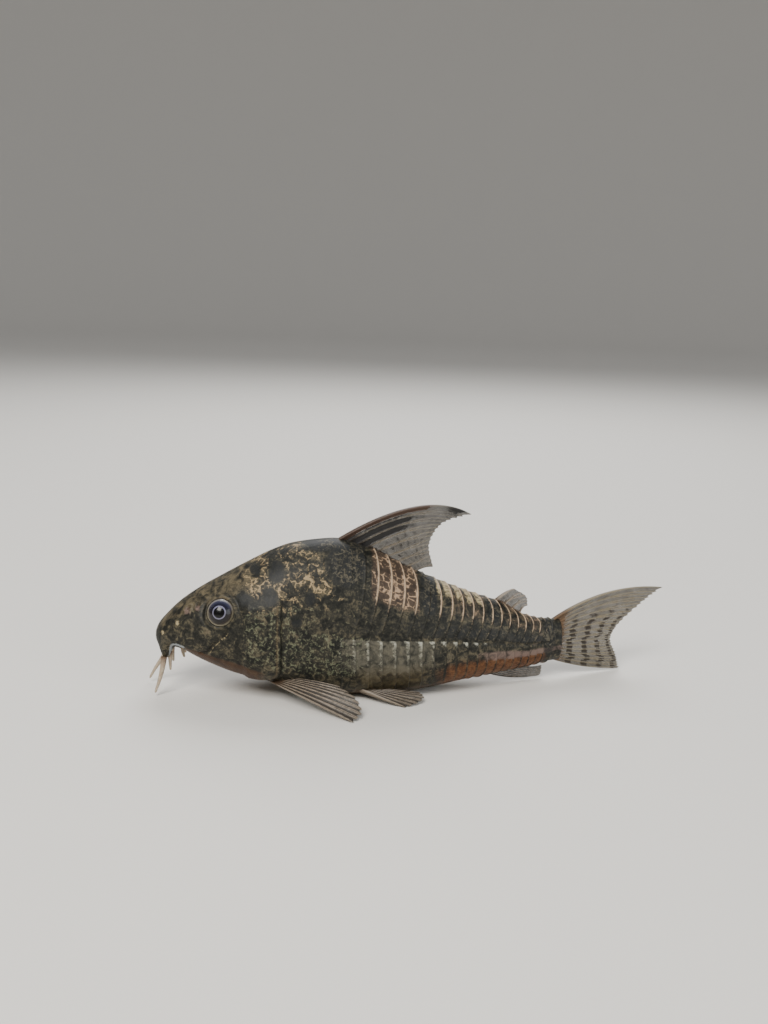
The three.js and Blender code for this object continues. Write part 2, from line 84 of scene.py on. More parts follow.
EYE = {
    "station": 8.9, "height": 12.2, "ball": 2.05, "rim": 1.74, "cornea": 0.05,
    "facing": (-0.16, 0.93, 0.33),
}


def ease(x):
    t = np.clip(x, 0.0, 1.0)
    return t * t * (3 - 2 * t)


def rises(x, start, span):
    """From 0 to 1 as x passes from the start over the span."""
    return ease((x - start) / span)


def falls(x, start, span):
    """From 1 to 0 as x passes from the start over the span."""
    return 1 - rises(x, start, span)


def bell(x, middle, width):
    return np.exp(-(((x - middle) / width) ** 2))


def mix(a, b, t):
    return a + (b - a) * t


def curve_through(table):
    """A smooth curve through the table's points that never overshoots them."""
    xs, ys = (np.array(c, float) for c in zip(*table))
    steps = np.diff(ys) / np.diff(xs)
    inner = np.zeros(len(steps) - 1)
    same = steps[:-1] * steps[1:] > 0
    a, b = steps[:-1][same], steps[1:][same]
    inner[same] = 2 * a * b / (a + b)
    slopes = np.concatenate([[steps[0]], inner, [steps[-1]]])

    def read(x):
        x = np.asarray(x, float)
        i = np.clip(np.searchsorted(xs, x, side="left") - 1, 0, len(xs) - 2)
        span = xs[i + 1] - xs[i]
        t = np.clip((x - xs[i]) / span, 0, 1)
        u = 1 - t
        return (
            ys[i] * u * u * (1 + 2 * t)
            + ys[i + 1] * t * t * (1 + 2 * u)
            + span * t * u * (slopes[i] * u - slopes[i + 1] * t)
        )

    return read


top_height = curve_through(TOP_HEIGHT)
bottom_height = curve_through(BOTTOM_HEIGHT)
widest_height = curve_through(WIDEST_HEIGHT)
half_width = curve_through(HALF_WIDTH)
top_fullness = curve_through(TOP_FULLNESS)
bottom_fullness = curve_through(BOTTOM_FULLNESS)


def body_point(station, turn, sign, lift=0.0):
    angle = np.pi * turn
    wide = widest_height(station)
    upper = turn < 0.5
    reach = np.where(upper, top_height(station) - wide, wide - bottom_height(station))
    fullness = np.where(upper, top_fullness(station), bottom_fullness(station))
    across = np.sin(angle)
    along = np.sign(np.cos(angle)) * np.abs(np.cos(angle)) ** fullness
    y = sign * (half_width(station) + lift) * across
    z = wide + (reach + lift) * along
    return np.stack([station - REST_STATION + 0 * z, y, np.maximum(0, z)], -1)


def bend(points):
    """Swings the tail half of the fish round the arc of its pose."""
    x, y, z = points[..., 0], points[..., 1], points[..., 2]
    curved = np.clip(x, 0, BEND_LENGTH)
    straight = x - curved
    angle = curved / BEND_RADIUS
    radius = BEND_RADIUS - y
    return np.stack(
        [
            radius * np.sin(angle) + straight * np.cos(angle),
            BEND_RADIUS - radius * np.cos(angle) + straight * np.sin(angle),
            z,
        ],
        -1,
    )


def gill_sweep(turn):
    return GILL_SWEEP * rises(turn, 0.62, 0.34) + GILL_CREST_SWEEP * ease((0.25 - turn) / 0.25)


def scute_sweep(turn, pitch):
    t = turn / LATERAL_UPPER
    u = (turn - LATERAL_LOWER) / (1 - LATERAL_LOWER)
    upper = 0.55 * np.sin(np.pi * t) - 1.1 * t**3
    lower = 0.5 * np.sin(np.pi * u) - 0.7 * u - ROW_STAGGER * pitch
    return np.where(turn <= LATERAL_UPPER, upper, lower)


def warped_station(along, turn):
    sweep = gill_sweep(turn)
    head = along - sweep * (np.clip(along, 0, None) / GILL_STATION) ** 3
    pitch = mix(SCUTE_PITCH_FIRST, SCUTE_PITCH_LAST, (along - SCUTE_START) / 37)
    scutes = ease((along - GILL_STATION) / 5) * ease((STANDARD_LENGTH - along) / 3)
    trunk = along - sweep * falls(along, GILL_STATION, 9) + scutes * scute_sweep(turn, pitch)
    return np.where(along <= GILL_STATION, head, trunk)


def eye_place(sign):
    """The eyeball's centre and the way it looks."""
    station = EYE["station"]
    wide = widest_height(station)
    reach = (EYE["height"] - wide) / (top_height(station) - wide)
    turn = np.arccos(reach ** (1 / top_fullness(station))) / np.pi
    surface = body_point(station, turn, sign)
    outward = np.array(EYE["facing"]) * (1, sign, 1)
    outward /= np.linalg.norm(outward)
    depth = math.sqrt(EYE["ball"] ** 2 - EYE["rim"] ** 2)
    return surface - outward * depth, outward


# Meshes


def grid_faces(rows, columns, closed):
    """Quads of a grid of points, row by row, joined round each row when closed."""
    across = columns if closed else columns - 1
    r, c = np.meshgrid(np.arange(rows - 1), np.arange(across), indexing="ij")
    n = (c + 1) % columns
    quads = np.stack(
        [r * columns + c, r * columns + n, (r + 1) * columns + n, (r + 1) * columns + c], -1
    )
    return quads.reshape(-1, 4)


def closed_faces(rows, columns):
    """A grid closed round each row, with a fan at either end to a pole, the last two points."""
    faces = [tuple(f) for f in grid_faces(rows, columns, True)[:, ::-1]]
    last = (rows - 1) * columns
    for c in range(columns):
        n = (c + 1) % columns
        faces.append((rows * columns, c, n))
        faces.append((rows * columns + 1, last + n, last + c))
    return faces


def turn_outwards(mesh):
    """Turns every face round where the closed mesh came out inside out."""
    mesh.calc_loop_triangles()
    count = len(mesh.loop_triangles)
    corners = np.empty(count * 3, np.int32)
    mesh.loop_triangles.foreach_get("vertices", corners)
    places = np.empty(len(mesh.vertices) * 3)
    mesh.vertices.foreach_get("co", places)
    a, b, c = (places.reshape(-1, 3)[corners.reshape(-1, 3)[:, k]] for k in range(3))
    if np.sum(np.einsum("ij,ij->i", a, np.cross(b, c))) < 0:
        mesh.flip_normals()


def new_object(name, data):
    made = bpy.data.objects.new(name, data)
    bpy.context.scene.collection.objects.link(made)
    return made


def make_piece(name, points, faces, material, attributes, replaces):
    """A mesh from points in millimetres, riding on the fish's one body."""
    placed = bend(np.asarray(points, float)) * MM
    mesh = bpy.data.meshes.new(name)
    mesh.from_pydata(placed.tolist(), [], [tuple(f) for f in faces])
    for label, values in attributes.items():
        layer = mesh.attributes.new(label, "FLOAT", "POINT")
        layer.data.foreach_set("value", np.asarray(values, np.float32).ravel())
    mesh.polygons.foreach_set("use_smooth", np.ones(len(mesh.polygons), bool))
    mesh.materials.append(material)
    mesh.update()
    turn_outwards(mesh)
    piece = new_object(name, mesh)
    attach(piece, "root")
    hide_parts(*replaces)


# Materials


def linear(hex_colour):
    value = hex_colour.lstrip("#")
    channels = [int(value[i : i + 2], 16) / 255 for i in (0, 2, 4)]
    lit = [c / 12.92 if c <= 0.04045 else ((c + 0.055) / 1.055) ** 2.4 for c in channels]
    return (*lit, 1.0)


def add(tree, kind, inputs=None, **settings):
    """A node with its settings, whose inputs are given values or joined to other nodes' sockets."""
    made = tree.nodes.new(kind)
    for key, value in settings.items():
        setattr(made, key, value)
    for key, value in (inputs or {}).items():
        if isinstance(value, bpy.types.NodeSocket):
            tree.links.new(value, made.inputs[key])
        else:
            made.inputs[key].default_value = value
    return made


def new_material(name):
    material = bpy.data.materials.new(name)
    material.use_nodes = True
    tree = material.node_tree
    tree.nodes.clear()
    output = tree.nodes.new("ShaderNodeOutputMaterial")
    return material, tree, output


# Wet armoured skin, dark olive-brown and only softly glossy. Each layer shows where its mask, plus a
# share of a pattern, passes from low to high: [mask, pattern, share, low, high, strength, colour].
SKIN_LAYERS = [
    ("snout", "mottle", 2.0, 1.7, 2.4, 0.6, "#665b45"),
    ("net", "mottle", 1.6, 1.5, 2.3, 0.55, "#564a35"),
    ("net", "net", 1.0, 1.15, 1.75, 0.9, "#9c8765"),
    ("gold", "fine", 3.0, 2.5, 3.05, 0.65, "#6f735b"),
    ("low", "mottle", 1.6, 1.3, 2.1, 0.6, "#50452f"),
    ("rust", "mottle", 1.6, 1.0, 2.0, 0.7, "#5c3519"),
    ("rust", "fine", 2.2, 1.75, 2.4, 0.55, "#774d2c"),
    ("mauve", "mottle", 2.4, 1.5, 2.4, 0.8, "#75625a"),
    ("panel", "mottle", 1.6, 1.1, 1.9, 0.75, "#47392f"),
    ("panel", "ladder", 1.0, 1.25, 1.85, 0.9, "#a58b70"),
    ("blotch", "mottle", 2.6, 1.75, 2.3, 0.84, "#1a1c1d"),
    ("speckle", "fine", 2.4, 2.1, 2.6, 0.6, "#67604f"),
    ("streaks", "mottle", 2.2, 1.5, 2.4, 0.6, "#5e5b50"),
    ("streak_rims", "fine", 2.8, 2.0, 2.8, 0.8, "#8b897b"),
    # Cream and glint: pale marks on the back and snout, plus a painted highlight on the cheek crease.
    ("cream_and_glint", "fine", 1.8, 1.45, 2.2, 0.85, "#b3a27c"),
    ("rim", "fine", 1.2, 1.05, 1.7, 0.9, "#b39b80"),
    ("tips", "fine", 1.8, 1.35, 2.1, 0.8, "#a3a294"),
    ("belly", "mottle", 1.0, 0.9, 1.7, 0.65, "#4f402d"),
    ("pale", "fine", 0.5, 0.6, 1.1, 0.75, "#6e604b"),
    ("lips", "fine", 0.6, 0.6, 1.2, 0.75, "#9da2a6"),
    ("jaw", "mottle", 1.2, 1.0, 1.7, 0.7, "#4a2f1c"),
    # Crease shade: painted shade, near black in the gill groove and the cheek crease.
    ("crease_shade", "fine", 1.2, 0.9, 1.7, 0.42, "#17140f"),
    ("edge", "fine", 1.4, 1.1, 1.8, 0.5, "#6d5c42"),
]
# Noise patterns: [size in millimetres, detail]. Drift bends the lines of the nets.
SKIN_NOISES = {"mottle": (1.3, 6.0), "fine": (0.45, 4.0), "grain": (0.2, 3.0), "drift": (0.9, 3.0)}


def skin_material():
    material, tree, output = new_material("wet_scaled_skin")
    coords = add(tree, "ShaderNodeTexCoord").outputs["Object"]
    pattern = {}
    for name, (size, detail) in SKIN_NOISES.items():
        pattern[name] = add(
            tree,
            "ShaderNodeTexNoise",
            {
                "Vector": coords,
                "Scale": 1 / (size * MM),
                "Detail": detail,
                "Roughness": 0.6,
                "Distortion": 0.9,
            },
        )
    wander = pattern["drift"].outputs["Color"]
    drifted = add(
        tree,
        "ShaderNodeVectorMath",
        {0: wander, 1: (0.9 * MM,) * 3, 2: coords},
        operation="MULTIPLY_ADD",
    ).outputs[0]
    pattern = {name: made.outputs["Fac"] for name, made in pattern.items()}
    # Pale nets round dark spots: one lies anywhere, and one keeps to the scutes, two spots to a plate.
    plates = add(
        tree,
        "ShaderNodeCombineXYZ",
        {
            0: add(tree, "ShaderNodeAttribute", attribute_name="plate_along").outputs["Fac"],
            1: add(tree, "ShaderNodeAttribute", attribute_name="plate_round").outputs["Fac"],
        },
    ).outputs[0]
    plates = add(
        tree,
        "ShaderNodeVectorMath",
        {0: wander, 1: (0.5, 0.5, 0.0), 2: plates},
        operation="MULTIPLY_ADD",
    ).outputs[0]
    fray = {"Value": pattern["mottle"], "From Min": 0.36, "From Max": 0.58}
    fray = add(tree, "ShaderNodeMapRange", fray).outputs[0]
    nets = {"net": (drifted, 1 / (0.95 * MM), 1.0), "ladder": (plates, 1.0, 0.6)}
    for name, (vector, scale, randomness) in nets.items():
        cells = add(
            tree,
            "ShaderNodeTexVoronoi",
            {"Vector": vector, "Scale": scale, "Randomness": randomness},
            feature="DISTANCE_TO_EDGE",
        ).outputs["Distance"]
        cells = {0: pattern["fine"], 1: 0.28, 2: cells}
        cells = add(tree, "ShaderNodeMath", cells, operation="MULTIPLY_ADD").outputs[0]
        cells = add(
            tree,
            "ShaderNodeMapRange",
            {"Value": cells, "From Min": 0.31, "From Max": 0.14},
            interpolation_type="SMOOTHSTEP",
        ).outputs[0]
        frayed = add(tree, "ShaderNodeMath", {0: cells, 1: fray}, operation="MULTIPLY")
        pattern[name] = frayed.outputs[0]
    blend = add(tree, "ShaderNodeMix", {0: 0.42, 2: pattern["mottle"], 3: pattern["fine"]})
    ground = add(tree, "ShaderNodeValToRGB", {"Fac": blend.outputs[0]})
    ramp = ground.color_ramp
    ramp.elements[0].position, ramp.elements[0].color = 0.4, linear("#11120f")
    ramp.elements[1].position, ramp.elements[1].color = 0.62, linear("#5a5341")
    ramp.elements.new(0.5).color = linear("#282721")
    colour = ground.outputs["Color"]
    for mask, name, share, low, high, strength, paint in SKIN_LAYERS:
        amount = add(tree, "ShaderNodeAttribute", attribute_name=mask).outputs["Fac"]
        amount = {0: pattern[name], 1: share, 2: amount}
        amount = add(tree, "ShaderNodeMath", amount, operation="MULTIPLY_ADD").outputs[0]
        amount = add(
            tree,
            "ShaderNodeMapRange",
            {"Value": amount, "From Min": low, "From Max": high, "To Max": strength},
            interpolation_type="SMOOTHSTEP",
        ).outputs[0]
        layer = {0: amount, 6: colour, 7: linear(paint)}
        colour = add(tree, "ShaderNodeMix", layer, data_type="RGBA").outputs[2]
    relief = {0: pattern["fine"], 1: 0.6, 2: pattern["grain"]}
    relief = add(tree, "ShaderNodeMath", relief, operation="MULTIPLY_ADD").outputs[0]
    bump = add(tree, "ShaderNodeBump", {"Strength": 0.4, "Distance": 0.1 * MM, "Height": relief})
    surface = add(
        tree,
        "ShaderNodeBsdfPrincipled",
        {
            "Base Color": colour,
            "Roughness": 0.52,
            "IOR": 1.38,
            "Specular IOR Level": 0.3,
            "Coat Weight": 0.06,
            "Coat Roughness": 0.3,
            "Normal": bump.outputs[0],
        },
    )
    tree.links.new(surface.outputs[0], output.inputs[0])
    return material


# Fin: clear skin between cartilage rays, so it shows what is behind it except at rays and spots.
# Its layers are laid over the clear skin in this order, where the mask of that name says.
def fin_material(name, skin_colour, clear, layers):
    material, tree, output = new_material(name)
    coords = add(tree, "ShaderNodeTexCoord").outputs["Object"]
    grain = {"Vector": coords, "Scale": 1 / (0.5 * MM), "Detail": 4.0}
    fine = add(tree, "ShaderNodeTexNoise", grain).outputs["Fac"]
    cloud = {"Vector": coords, "Scale": 1 / (1.6 * MM), "Detail": 3.0}
    smoke = add(tree, "ShaderNodeTexNoise", cloud).outputs["Fac"]
    colour = linear(skin_colour)
    solid = clear
    for mask, paint, strength in layers:
        amount = add(tree, "ShaderNodeAttribute", attribute_name=mask).outputs["Fac"]
        amount = {0: fine, 1: 0.7, 2: amount}
        amount = add(tree, "ShaderNodeMath", amount, operation="MULTIPLY_ADD").outputs[0]
        amount = add(
            tree,
            "ShaderNodeMapRange",
            {"Value": amount, "From Min": 0.5, "From Max": 1.2, "To Max": strength},
        ).outputs[0]
        layer = {0: amount, 6: colour, 7: linear(paint)}
        colour = add(tree, "ShaderNodeMix", layer, data_type="RGBA").outputs[2]
        solid = add(tree, "ShaderNodeMath", {0: solid, 1: amount}, operation="MAXIMUM").outputs[0]
    smoky = {0: smoke, 1: 0.25, 2: solid}
    alpha = add(tree, "ShaderNodeMath", smoky, operation="MULTIPLY_ADD").outputs[0]
    bump = add(tree, "ShaderNodeBump", {"Strength": 0.2, "Distance": 0.08 * MM, "Height": fine})
    surface = add(
        tree,
        "ShaderNodeBsdfPrincipled",
        {
            "Base Color": colour,
            "Roughness": 0.42,
            "IOR": 1.38,
            "Alpha": alpha,
            "Normal": bump.outputs[0],
        },
    )
    tree.links.new(surface.outputs[0], output.inputs[0])
    return material


# Eye: a wet clear cornea over a dark iris, blue-violet in its upper half, with a thin pale ring round
# the pupil and a duller one at the rim. Each ramp runs from the middle of the pupil to the rim.
IRIS_LOWER = [
    (0.0, "#040405"), (0.39, "#060607"), (0.42, "#666478"), (0.475, "#73717e"), (0.51, "#121116"),
    (0.7, "#1c1818"), (0.85, "#2b241f"), (0.92, "#77715f"), (0.97, "#8a8372"), (1.0, "#2e2922"),
]
IRIS_UPPER = [
    (0.0, "#040405"), (0.39, "#060607"), (0.42, "#6d6c85"), (0.475, "#7a7990"), (0.51, "#10101c"),
    (0.66, "#191a2b"), (0.83, "#343548"), (0.92, "#6b696c"), (0.97, "#79746a"), (1.0, "#2e2922"),
]


def eye_material():
    material, tree, output = new_material("wet_eye")
    ring = add(tree, "ShaderNodeAttribute", attribute_name="ring").outputs["Fac"]
    upper = add(tree, "ShaderNodeAttribute", attribute_name="upper").outputs["Fac"]
    halves = []
    for stops in (IRIS_LOWER, IRIS_UPPER):
        made = add(tree, "ShaderNodeValToRGB", {"Fac": ring})
        elements = made.color_ramp.elements
        elements[0].position, elements[0].color = stops[0][0], linear(stops[0][1])
        elements[1].position, elements[1].color = stops[-1][0], linear(stops[-1][1])
        for position, paint in stops[1:-1]:
            elements.new(position).color = linear(paint)
        halves.append(made.outputs["Color"])
    iris = {0: upper, 6: halves[0], 7: halves[1]}
    colour = add(tree, "ShaderNodeMix", iris, data_type="RGBA").outputs[2]
    surface = add(
        tree,
        "ShaderNodeBsdfPrincipled",
        {
            "Base Color": colour,
            "Roughness": 0.25,
            "IOR": 1.38,
            "Specular IOR Level": 0.3,
            "Coat Weight": 0.3,
            "Coat Roughness": 0.04,
        },
    )
    tree.links.new(surface.outputs[0], output.inputs[0])
    return material


# Barbel: soft pale tan skin that lets a little light in, browner at its root.
def barbel_material():
    material, tree, output = new_material("soft_barbel_skin")
    coords = add(tree, "ShaderNodeTexCoord").outputs["Object"]
    grain = {"Vector": coords, "Scale": 1 / (0.4 * MM), "Detail": 4.0}
    fine = add(tree, "ShaderNodeTexNoise", grain).outputs["Fac"]
    tans = {0: fine, 6: linear("#85735f"), 7: linear("#bfb09a")}
    pale = add(tree, "ShaderNodeMix", tans, data_type="RGBA").outputs[2]
    root = add(tree, "ShaderNodeAttribute", attribute_name="root").outputs["Fac"]
    browned = {0: root, 6: pale, 7: linear("#5b4735")}
    colour = add(tree, "ShaderNodeMix", browned, data_type="RGBA").outputs[2]
    surface = add(
        tree,
        "ShaderNodeBsdfPrincipled",
        {
            "Base Color": colour,
            "Roughness": 0.5,
            "Subsurface Weight": 0.1,
            "Subsurface Scale": 0.3 * MM,
        },
    )
    tree.links.new(surface.outputs[0], output.inputs[0])
    return material


# The skin

AROUND_STEPS = 104
LADDER_RUNG = 0.87
HEAD_STEP = 0.11
SCUTE_PHASES = np.array([0, 0.07, 0.17, 0.3, 0.44, 0.58, 0.7, 0.8, 0.87, 0.915, 0.95])

GILL_COVER = {"front": 11.6, "lift": 0.28}
GILL_GROOVE = {"behind": 0.18, "width": 0.12, "depth": 0.18}
MOUTH = {"station": 2.75, "half_length": 1.0, "half_width": 1.65, "depth": 0.9}
LIP_FOLD = {"station": 1.42, "side": 1.95, "reach": 0.78, "drop": 1.75}
SOCKET_DEPTH = 1.2
# Nostrils: [station, turn, share of the tube's height]
NOSTRILS = [(4.7, 0.235, 1.0), (5.9, 0.25, 0.55)]
# Lines on the head's side: [station, height]
CHEEK_CREASE = [(9.7, 9.8), (8.8, 8.9), (7.8, 7.8), (7.3, 6.9), (6.2, 6.5)]
CREASE_EDGE = [(9.9, 9.6), (9.0, 8.7), (8.0, 7.6), (7.5, 6.7)]
UPPER_LIP = [(2.0, 6.6), (2.6, 7.3), (3.3, 7.35), (4.0, 7.1)]
# Ridges and furrows: [height, distance of the crest, half width], the distance taken from the rim of
# the eye socket, the middle of a nostril, the rim of the mouth's ellipse or one of the lines.
RELIEF = {
    "socket_fold": (0.24, 0.24, 0.2),
    "socket_moat": (-0.1, 0.75, 0.28),
    "nostril_tube": (0.26, 0.42, 0.15),
    "nostril_pit": (-0.4, 0, 0.26),
    "cheek_crease": (-0.22, 0, 0.16),
    "crease_edge": (0.14, 0, 0.15),
    "mouth_rim": (0.3, 0, 0.24),
    "upper_lip": (0.16, 0, 0.2),
}


def scute_edges():
    edges = [SCUTE_START]
    for i in range(SCUTE_COUNT):
        edges.append(edges[-1] + mix(SCUTE_PITCH_FIRST, SCUTE_PITCH_LAST, i / (SCUTE_COUNT - 1)))
    return np.array(edges)


def skin_lines():
    """How far along the body each loop lies, and the share of its scute it lies at."""
    edges = scute_edges()
    snout = [0.0004, 0.004, 0.015, 0.035, 0.065]
    head = np.concatenate([snout, np.arange(0.1, GILL_STATION, HEAD_STEP)])
    shoulder = np.arange(GILL_STATION, SCUTE_START - 0.05, HEAD_STEP)
    along = [head, shoulder]
    phase = [np.zeros(len(head)), np.zeros(len(shoulder))]
    for start, end in zip(edges, edges[1:]):
        along.append(start + (end - start) * SCUTE_PHASES)
        phase.append(SCUTE_PHASES)
    along.append(np.linspace(edges[-1], STANDARD_LENGTH, 8))
    phase.append(np.zeros(8))
    return np.concatenate(along), np.concatenate(phase)


def polyline_distance(x, z, corners):
    best = np.full(np.shape(x), 1e9)
    for (x0, z0), (x1, z1) in zip(corners, corners[1:]):
        dx, dz = x1 - x0, z1 - z0
        t = np.clip(((x - x0) * dx + (z - z0) * dz) / (dx * dx + dz * dz), 0, 1)
        best = np.minimum(best, np.hypot(x - x0 - t * dx, z - z0 - t * dz))
    return best


def ridge(name, distance):
    height, crest, width = RELIEF[name]
    return height * bell(distance, crest, width)


def scute_relief(along, station, turn, phase):
    """Scutes rise to their rear edges and step down to the next."""
    rise = 0.72 * phase**0.9 + 0.28 * rises(phase, 0.72, 0.2)
    rise = np.where(phase > 0.93, 0.35 * rise, rise)
    lateral = ease(np.abs(turn - 0.4775) / 0.022 - 0.25)
    cover = 0.15 + 0.85 * lateral
    belly_fade = 1 - rises(turn, 0.72, 0.1) * falls(station, 40, 4)
    crest_fade = 1 - falls(turn, 0.02, 0.16) * falls(station, 24, 6)
    front_fade = 0.12 + 0.88 * rises(along - SCUTE_START, 5, 6)
    return SCUTE_LIFT * rise * cover * belly_fade * front_fade * crest_fade


def outward_normals(points):
    du = np.gradient(points, axis=0)
    dv = np.roll(points, -1, 1) - np.roll(points, 1, 1)
    normal = np.cross(du, dv)
    normal /= np.linalg.norm(normal, axis=-1, keepdims=True) + 1e-12
    outward_check = np.sum(normal * (points - [0, 0, 9]), -1)
    return normal * np.where(np.mean(outward_check) < 0, -1, 1)


def face_relief(points, station, turn, sign):
    """How far the head's skin moves out, and the masks of the features on it."""
    moved = np.zeros(station.shape)
    height = points[..., 2]
    for side in (-1, 1):
        # Eye: a fold round the socket with a moat outside it, and the hollow for the eyeball
        centre, outward = eye_place(side)
        offset = points - centre
        ahead = offset @ outward
        across = np.linalg.norm(offset - ahead[..., None] * outward, axis=-1)
        near = (ahead > 0) & (across < 4) & (sign == side)
        past_rim = across - EYE["rim"]
        rim = ridge("socket_fold", past_rim) + ridge("socket_moat", past_rim)
        moved += np.where(near, rim - SOCKET_DEPTH * falls(past_rim, -0.35, 0.42), 0)
        # Nostrils: a short tube and the pit in it
        for nostril_station, nostril_turn, tube in NOSTRILS:
            here = body_point(nostril_station, nostril_turn, side)
            reach = np.linalg.norm(points - here, axis=-1)
            moved += tube * ridge("nostril_tube", reach)
            moved += ridge("nostril_pit", reach)
    # Crease across the cheek, from under the eye forward and down, with a painted highlight on its
    # raised lower edge
    crease = polyline_distance(station, height, CHEEK_CREASE)
    crease_edge = polyline_distance(station, height, CREASE_EDGE)
    moved += ridge("cheek_crease", crease)
    moved += ridge("crease_edge", crease_edge)
    # Mouth: soft lips round an opening on the underside of the snout
    ring = np.hypot(
        (station - MOUTH["station"]) / MOUTH["half_length"],
        points[..., 1] / MOUTH["half_width"],
    )
    opening = MOUTH["depth"] * falls(ring, 0.4, 0.45)
    moved += np.where(turn > 0.5, ridge("mouth_rim", ring - 1.0) - opening, 0)
    # Upper lip: a pale crescent that arches over the corner of the mouth
    crescent = polyline_distance(station, height, UPPER_LIP)
    moved += ridge("upper_lip", crescent) * (turn > 0.4)
    masks = {
        "lips": bell(crescent, 0, 0.22) * (turn > 0.4),
        # Crease: the cheek crease, where shade is painted dark.
        "crease": bell(crease, 0, 0.15),
        # Glint: a painted highlight along the crease's raised lower edge.
        "glint": 0.95 * bell(crease_edge, 0, 0.12),
    }
    return moved, masks


def skin_piece(material):
    along, phase = skin_lines()
    edges = scute_edges()
    scute_number = np.clip(np.searchsorted(edges, along + 1e-6) - 1, 0, SCUTE_COUNT)
    turns = np.linspace(0, 1, AROUND_STEPS + 1)
    turn = np.concatenate([turns, turns[1:-1][::-1]])
    sign = np.concatenate([-np.ones(AROUND_STEPS + 1), np.ones(AROUND_STEPS - 1)])
    along, turn = np.meshgrid(along, turn, indexing="ij")
    phase = np.repeat(phase[:, None], along.shape[1], 1)
    scute_number = np.repeat(scute_number[:, None], along.shape[1], 1)
    sign = np.repeat(sign[None, :], along.shape[0], 0)
    station = warped_station(along, turn)

    # The gill cover stands proud of the cheek, and its rear edge drops into the gill opening.
    past_gill = along - GILL_STATION
    gill = rises(turn, 0.3, 0.07) * falls(turn, 0.9, 0.07)
    cover_front = rises(station, GILL_COVER["front"], 0.9) * falls(turn, 0.82, 0.08)
    groove = bell(past_gill, GILL_GROOVE["behind"], GILL_GROOVE["width"])
    lift = scute_relief(along, station, turn, phase)
    lift = lift + np.where(past_gill <= 0, GILL_COVER["lift"] * cover_front * gill, 0)
    lift = lift - GILL_GROOVE["depth"] * groove * gill

    points = body_point(station, turn, sign, lift)
    moved, face = face_relief(points, station, turn, sign)
    points = points + outward_normals(points) * moved[..., None]
    # Lip folds: a fleshy lobe at each corner of the mouth, that the barbels hang from
    fold_reach = np.hypot(
        points[..., 0] + REST_STATION - LIP_FOLD["station"],
        np.abs(points[..., 1]) - LIP_FOLD["side"],
    )
    lobe = np.exp(-((fold_reach / LIP_FOLD["reach"]) ** 3))
    points[..., 2] -= LIP_FOLD["drop"] * lobe * rises(turn, 0.5, 0.15)
    points[..., 2] = np.maximum(points[..., 2], 0)

    depth = top_height(station) - bottom_height(station)
    attributes = skin_masks(station, turn, phase, points[..., 2])
    attributes["lips"] = face["lips"]
    # Painted shade, dark in the gill groove and the cheek crease.
    attributes["crease_shade"] = np.maximum(groove * gill, face["crease"])
    attributes["edge"] = 0.8 * bell(past_gill, -0.3, 0.3) * gill
    # The painted highlight on the cheek crease shares one pale layer with the cream marks.
    attributes["cream_and_glint"] = np.maximum(attributes["cream_and_glint"], face["glint"])
    attributes["plate_along"] = 2 * (scute_number + phase)
    attributes["plate_round"] = turn * np.pi * depth / 2 / LADDER_RUNG

    rows, columns = along.shape
    vertices = points.reshape(-1, 3)
    tip = vertices[:columns].mean(0)
    end = vertices[-columns:].mean(0)
    vertices = np.vstack([vertices, tip, end])
    flat = {}
    for label, values in attributes.items():
        values = values.reshape(-1)
        flat[label] = np.concatenate([values, [values[0]], [values[-1]]])
    faces = closed_faces(rows, columns)
    make_piece("skin", vertices, faces, material, flat, ("head", "torso", "tail"))


# Dark blotches on each flank: [station, height, half length, half height]
BLOTCHES = [
    (11.8, 13.9, 1.25, 0.95), (15.3, 14.4, 1.0, 1.2), (16.0, 17.4, 1.15, 1.35),
    (13.2, 17.3, 0.8, 0.6), (21.8, 20.6, 2.4, 1.0), (25.2, 18.4, 3.1, 3.2),
    (35.8, 14.2, 1.25, 3.2), (45.0, 11.2, 1.1, 1.9), (53.9, 6.3, 1.2, 3.0),
    (20.3, 14.3, 0.8, 1.0), (18.6, 11.5, 0.8, 0.9),
]
# Small pale spots on the snout: [station, height, radius, mask]
SNOUT_SPOTS = [
    (1.2, 8.6, 0.5, "cream_and_glint"), (3.2, 10.2, 0.5, "cream_and_glint"), (4.5, 11.7, 0.6, "mauve"),
    (5.9, 12.3, 0.5, "mauve"), (6.6, 9.6, 0.5, "gold"), (5.6, 9.9, 0.4, "gold"),
]


